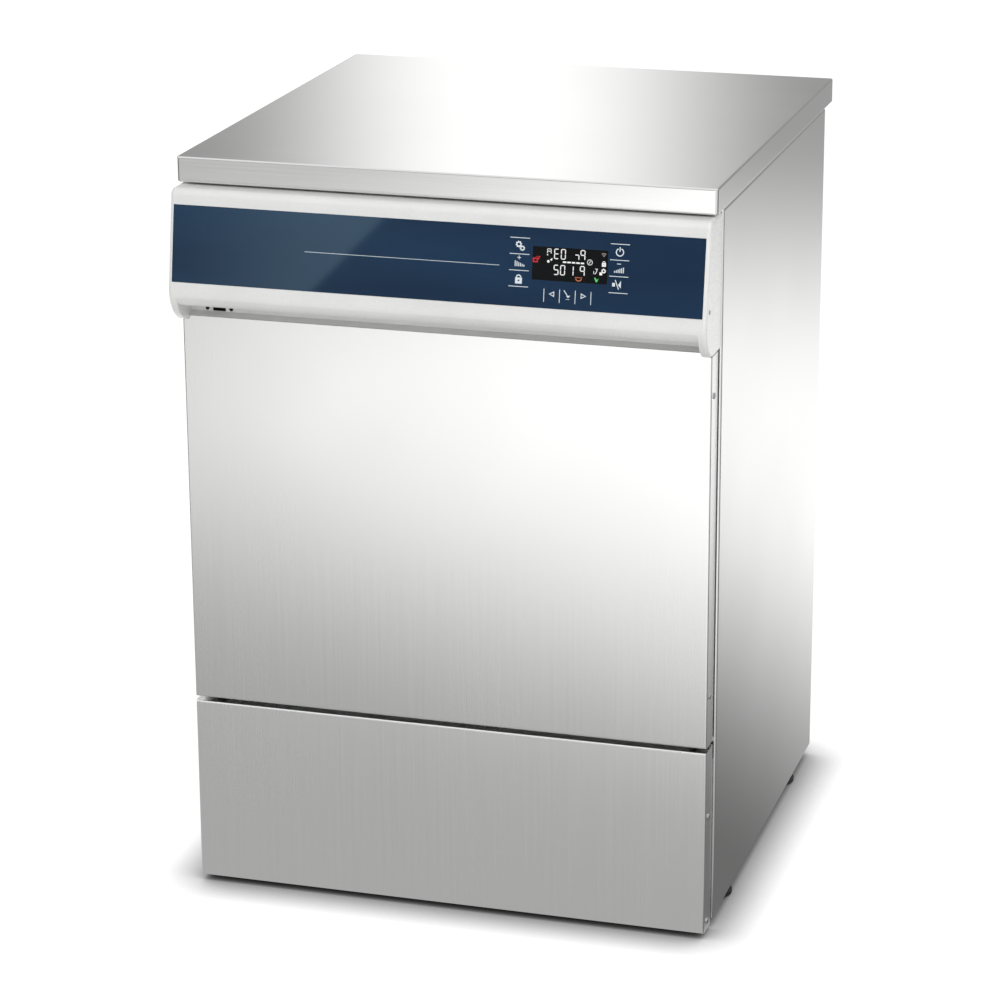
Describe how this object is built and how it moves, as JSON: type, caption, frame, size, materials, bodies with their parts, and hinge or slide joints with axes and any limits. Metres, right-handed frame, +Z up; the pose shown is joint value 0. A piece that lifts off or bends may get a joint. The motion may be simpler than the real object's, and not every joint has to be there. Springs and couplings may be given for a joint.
{
  "type": "laboratory washer-disinfector",
  "caption": "Free-standing steel glassware washer with a drop-down door, moulded control fascia with display, spray arms, pumps, lock and levelling feet",
  "frame": {"origin": "on the floor, in the middle of the width and of the overall depth", "axes": "+Z up, the door faces -Y, +X to the right of someone facing the door"},
  "size_m": [0.6, 0.6458, 0.85],
  "materials": {
    "casing_steel": "brushed stainless steel",
    "door_steel": "satin stainless steel",
    "inner_steel": "satin stainless steel",
    "zinc_sheet": "galvanised",
    "white_plastic": "smooth moulded white",
    "insert_film": "glossy dark blue film",
    "display_glass": "glossy black",
    "circuit_board": "solder mask",
    "black_plastic": "matte moulded",
    "dark_rubber": "matte",
    "grey_plastic": "matte moulded",
    "light_plastic": "matte moulded",
    "blue_plastic": "matte moulded",
    "wool": "felted fibre",
    "spring_steel": "drawn wire",
    "screw_steel": "stainless",
    "brass": "satin",
    "alloy": "cast"
  },
  "bodies": {
    "cabinet": {"worktop": "casing_steel", "side_panel_right": "casing_steel", "side_panel_left": "casing_steel", "rear_panel": "zinc_sheet", "base_tray": "zinc_sheet", "plinth_panel": "door_steel", "plinth_screws": "screw_steel", "plinth_brackets": "zinc_sheet", "hinge_bracket_right": "zinc_sheet", "hinge_bracket_left": "zinc_sheet", "hinge_pins": "screw_steel", "door_spring_right": "spring_steel", "door_spring_left": "spring_steel", "wash_chamber": "inner_steel", "door_gasket": "dark_rubber", "rack_rails": "inner_steel", "tub_supports": "zinc_sheet", "sump": "grey_plastic", "coarse_filter": "inner_steel", "lower_arm_hub": "grey_plastic", "upper_arm_hub": "grey_plastic", "supply_pipe": "light_plastic", "circulation_pump": "alloy", "drain_pump": "grey_plastic", "drain_hose": "dark_rubber", "drain_outlet": "grey_plastic", "heater": "inner_steel", "softener": "light_plastic", "lock_housing": "black_plastic", "steam_condenser": "light_plastic", "inlet_valves": "grey_plastic", "mains_gland": "grey_plastic", "terminal_box": "black_plastic", "dosing_bracket": "zinc_sheet", "dosing_pump_left": "blue_plastic", "dosing_pump_right": "blue_plastic"},
    "door": {"door_skin": "door_steel", "door_screws": "screw_steel", "door_liner": "inner_steel", "door_insulation": "wool", "fascia": "white_plastic", "control_insert": "insert_film", "display_module": "display_glass", "control_board": "circuit_board", "data_port": "black_plastic", "port_screws": "screw_steel", "hinge_arm_right": "zinc_sheet", "hinge_arm_left": "zinc_sheet", "lock_strike": "inner_steel", "dispenser": "grey_plastic"},
    "lower_arm": {"lower_spray_arm": "inner_steel"},
    "upper_arm": {"upper_spray_arm": "inner_steel"},
    "bolt": {"lock_bolt": "screw_steel"},
    "sieve": {"micro_filter": "grey_plastic"},
    "salt_lid": {"salt_cap": "grey_plastic"},
    "powder_lid": {"dispenser_lid": "blue_plastic"},
    "foot_fl": {"foot_front_left": "black_plastic"},
    "foot_fr": {"foot_front_right": "black_plastic"},
    "foot_rl": {"foot_rear_left": "black_plastic"},
    "foot_rr": {"foot_rear_right": "black_plastic"}
  },
  "joints": [
    {"name": "door_hinge", "type": "hinge", "parent": "cabinet", "child": "door", "pos_m": [0, -0.277, 0.2398], "axis": [1, 0, 0], "range_deg": [0, 90], "stiffness_Nm_per_rad": 10, "springref_deg": -28.65, "deforming": ["door_spring_right", "door_spring_left"]},
    {"name": "lower_arm_spin", "type": "hinge", "parent": "cabinet", "child": "lower_arm", "pos_m": [0, -0.0045, 0.317], "axis": [0, 0, 1], "continuous": true},
    {"name": "upper_arm_spin", "type": "hinge", "parent": "cabinet", "child": "upper_arm", "pos_m": [0, -0.0045, 0.76], "axis": [0, 0, 1], "continuous": true},
    {"name": "lock_bolt_slide", "type": "slide", "parent": "cabinet", "child": "bolt", "axis": [0, 0, -1], "range_m": [0, 0.009]},
    {"name": "micro_filter_lift", "type": "slide", "parent": "cabinet", "child": "sieve", "axis": [0, 0, 1], "range_m": [0, 0.06]},
    {"name": "salt_cap_turn", "type": "hinge", "parent": "cabinet", "child": "salt_lid", "pos_m": [-0.205, -0.1645, 0.29], "axis": [0, 0, 1], "range_deg": [0, 360]},
    {"name": "dispenser_lid_hinge", "type": "hinge", "parent": "door", "child": "powder_lid", "pos_m": [0, -0.2453, 0.473], "axis": [-1, 0, 0], "range_deg": [0, 150]},
    {"name": "foot_front_left_screw", "type": "slide", "parent": "cabinet", "child": "foot_fl", "axis": [0, 0, -1], "range_m": [0, 0.02]},
    {"name": "foot_front_right_screw", "type": "slide", "parent": "cabinet", "child": "foot_fr", "axis": [0, 0, -1], "range_m": [0, 0.02]},
    {"name": "foot_rear_left_screw", "type": "slide", "parent": "cabinet", "child": "foot_rl", "axis": [0, 0, -1], "range_m": [0, 0.02]},
    {"name": "foot_rear_right_screw", "type": "slide", "parent": "cabinet", "child": "foot_rr", "axis": [0, 0, -1], "range_m": [0, 0.02]}
  ]
}
